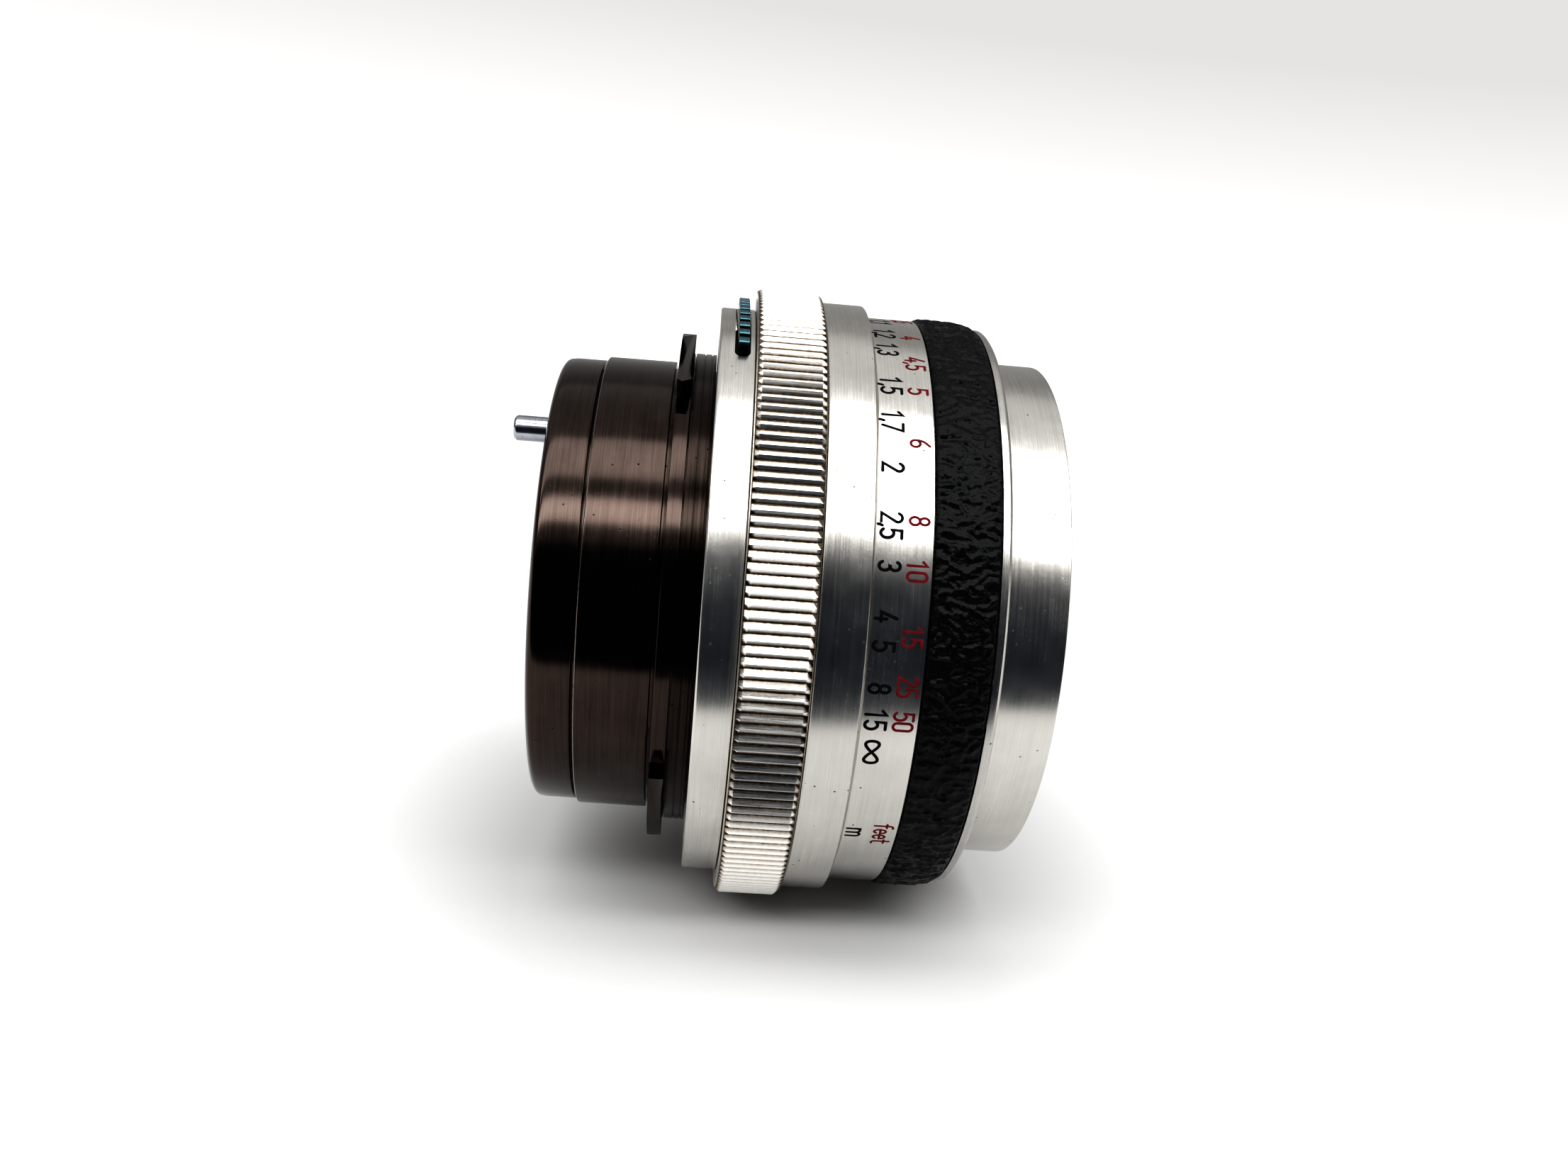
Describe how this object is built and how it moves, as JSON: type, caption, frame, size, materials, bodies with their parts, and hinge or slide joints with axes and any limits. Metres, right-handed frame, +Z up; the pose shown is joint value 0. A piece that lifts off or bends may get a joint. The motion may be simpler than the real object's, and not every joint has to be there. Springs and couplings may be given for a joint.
{
  "type": "camera lens",
  "caption": "Fixed-focal-length camera lens with a bayonet rear, focusing ring with distance scale and leatherette grip, knurled aperture ring, bladed iris and stop-down pin.",
  "frame": {"origin": "centre of the mounting flange, in the plane of the raised seat on the collar's rear face that meets the camera", "axes": "+X along the optical axis to the front of the lens, +Z up with the lens lying on its side, +Y away from the side the picture shows"},
  "size_m": [0.051, 0.0622, 0.0622],
  "materials": {
    "turned_aluminium": "satin, turned with fine circumferential lines, lightly pitted and scratched",
    "knurled_aluminium": "bright satin straight-cut knurl",
    "bronzed_mount": "dark bronze-black finish, finely brushed round the axis, worn brown on the edges",
    "black_metal": "matte black anodised, ridged against stray light",
    "brass": "machined, lightly greased",
    "steel": "polished steel",
    "blued_steel": "teal-blued steel with bright edges",
    "blade_steel": "thin blackened spring steel, satin",
    "leatherette": "black pebbled leatherette with a slight blue-grey sheen",
    "optical_glass": "clear, coated"
  },
  "bodies": {
    "housing": {"rear_cap": "bronzed_mount", "cap_screw_1": "steel", "cap_screw_2": "steel", "cap_screw_3": "steel", "pin_bush": "brass", "pin_spring": "steel", "bayonet_sleeve": "bronzed_mount", "rear_baffle": "black_metal", "bayonet_lug_ring": "bronzed_mount", "register_ring": "bronzed_mount", "mode_collar": "turned_aluminium", "main_housing": "turned_aluminium", "housing_screw_1": "steel", "housing_screw_2": "steel", "housing_screw_3": "steel", "guide_key": "steel", "guide_key_screw": "steel", "index_ring": "turned_aluminium", "index_screw_1": "steel", "index_screw_2": "steel", "index_screw_3": "steel", "click_ball": "steel", "infinity_stop": "brass"},
    "focus_ring": {"focus_helicoid": "brass", "focus_scale_ring": "turned_aluminium", "grip_band": "leatherette", "trim_ring": "turned_aluminium", "focus_stop": "brass"},
    "optical_barrel": {"barrel_helicoid": "brass", "filter_ring": "turned_aluminium", "name_ring": "black_metal", "front_cell": "black_metal", "front_retainer": "black_metal", "spacer_ring": "black_metal", "front_element": "optical_glass", "second_element": "optical_glass", "third_element": "optical_glass", "iris_housing": "black_metal", "rear_cell": "black_metal", "rear_retainer": "black_metal", "fourth_element": "optical_glass", "fifth_element": "optical_glass", "rear_element": "optical_glass"},
    "iris_cam": {"iris_cam_ring": "brass", "iris_lever": "steel"},
    "aperture_control": {"aperture_ring": "knurled_aluminium", "aperture_fork": "steel"},
    "plunger": {"stop_down_pin": "steel", "pin_clip": "steel"},
    "mode_lever": {"mode_ring": "brass", "mode_tab": "blued_steel"},
    "blade_1": {"iris_blade_1": "blade_steel"},
    "blade_2": {"iris_blade_2": "blade_steel"},
    "blade_3": {"iris_blade_3": "blade_steel"},
    "blade_4": {"iris_blade_4": "blade_steel"},
    "blade_5": {"iris_blade_5": "blade_steel"},
    "blade_6": {"iris_blade_6": "blade_steel"},
    "blade_7": {"iris_blade_7": "blade_steel"},
    "blade_8": {"iris_blade_8": "blade_steel"}
  },
  "joints": [
    {"name": "focus_turn", "type": "hinge", "parent": "housing", "child": "focus_ring", "pos_m": [0, 0, 0], "axis": [1, 0, 0], "range_deg": [-171, 82]},
    {"name": "barrel_slide", "type": "slide", "parent": "housing", "child": "optical_barrel", "axis": [1, 0, 0], "range_m": [-0.00453, 0.00217]},
    {"name": "aperture_turn", "type": "hinge", "parent": "housing", "child": "aperture_control", "pos_m": [0, 0, 0], "axis": [1, 0, 0], "range_deg": [0, 70]},
    {"name": "iris_cam_turn", "type": "hinge", "parent": "optical_barrel", "child": "iris_cam", "pos_m": [0, 0, 0], "axis": [1, 0, 0], "range_deg": [-0.5, 70.5]},
    {"name": "blade_1_swing", "type": "hinge", "parent": "optical_barrel", "child": "blade_1", "pos_m": [0.0105, -0.0168, 0], "axis": [1, 0, 0], "range_deg": [-0.5, 35.5]},
    {"name": "blade_2_swing", "type": "hinge", "parent": "optical_barrel", "child": "blade_2", "pos_m": [0.0105, -0.01188, -0.01188], "axis": [1, 0, 0], "range_deg": [-0.5, 35.5]},
    {"name": "blade_3_swing", "type": "hinge", "parent": "optical_barrel", "child": "blade_3", "pos_m": [0.0105, 0, -0.0168], "axis": [1, 0, 0], "range_deg": [-0.5, 35.5]},
    {"name": "blade_4_swing", "type": "hinge", "parent": "optical_barrel", "child": "blade_4", "pos_m": [0.0105, 0.01188, -0.01188], "axis": [1, 0, 0], "range_deg": [-0.5, 35.5]},
    {"name": "blade_5_swing", "type": "hinge", "parent": "optical_barrel", "child": "blade_5", "pos_m": [0.0105, 0.0168, 0], "axis": [1, 0, 0], "range_deg": [-0.5, 35.5]},
    {"name": "blade_6_swing", "type": "hinge", "parent": "optical_barrel", "child": "blade_6", "pos_m": [0.0105, 0.01188, 0.01188], "axis": [1, 0, 0], "range_deg": [-0.5, 35.5]},
    {"name": "blade_7_swing", "type": "hinge", "parent": "optical_barrel", "child": "blade_7", "pos_m": [0.0105, 0, 0.0168], "axis": [1, 0, 0], "range_deg": [-0.5, 35.5]},
    {"name": "blade_8_swing", "type": "hinge", "parent": "optical_barrel", "child": "blade_8", "pos_m": [0.0105, -0.01188, 0.01188], "axis": [1, 0, 0], "range_deg": [-0.5, 35.5]},
    {"name": "plunger_press", "type": "slide", "parent": "housing", "child": "plunger", "axis": [1, 0, 0], "range_m": [0, 0.0028], "stiffness_N_per_m": 300, "springref_m": -0.001, "deforming": ["pin_spring"]},
    {"name": "mode_turn", "type": "hinge", "parent": "housing", "child": "mode_lever", "pos_m": [0, 0, 0], "axis": [1, 0, 0], "range_deg": [-10, 0]}
  ],
  "couplings": [
    {"joint": "barrel_slide", "follows": "focus_turn", "m_per_rad": 0.0015183},
    {"joint": "iris_cam_turn", "follows": "aperture_turn", "ratio": 1},
    {"joint": "blade_1_swing", "follows": "aperture_turn", "ratio": 0.5},
    {"joint": "blade_2_swing", "follows": "aperture_turn", "ratio": 0.5},
    {"joint": "blade_3_swing", "follows": "aperture_turn", "ratio": 0.5},
    {"joint": "blade_4_swing", "follows": "aperture_turn", "ratio": 0.5},
    {"joint": "blade_5_swing", "follows": "aperture_turn", "ratio": 0.5},
    {"joint": "blade_6_swing", "follows": "aperture_turn", "ratio": 0.5},
    {"joint": "blade_7_swing", "follows": "aperture_turn", "ratio": 0.5},
    {"joint": "blade_8_swing", "follows": "aperture_turn", "ratio": 0.5}
  ]
}
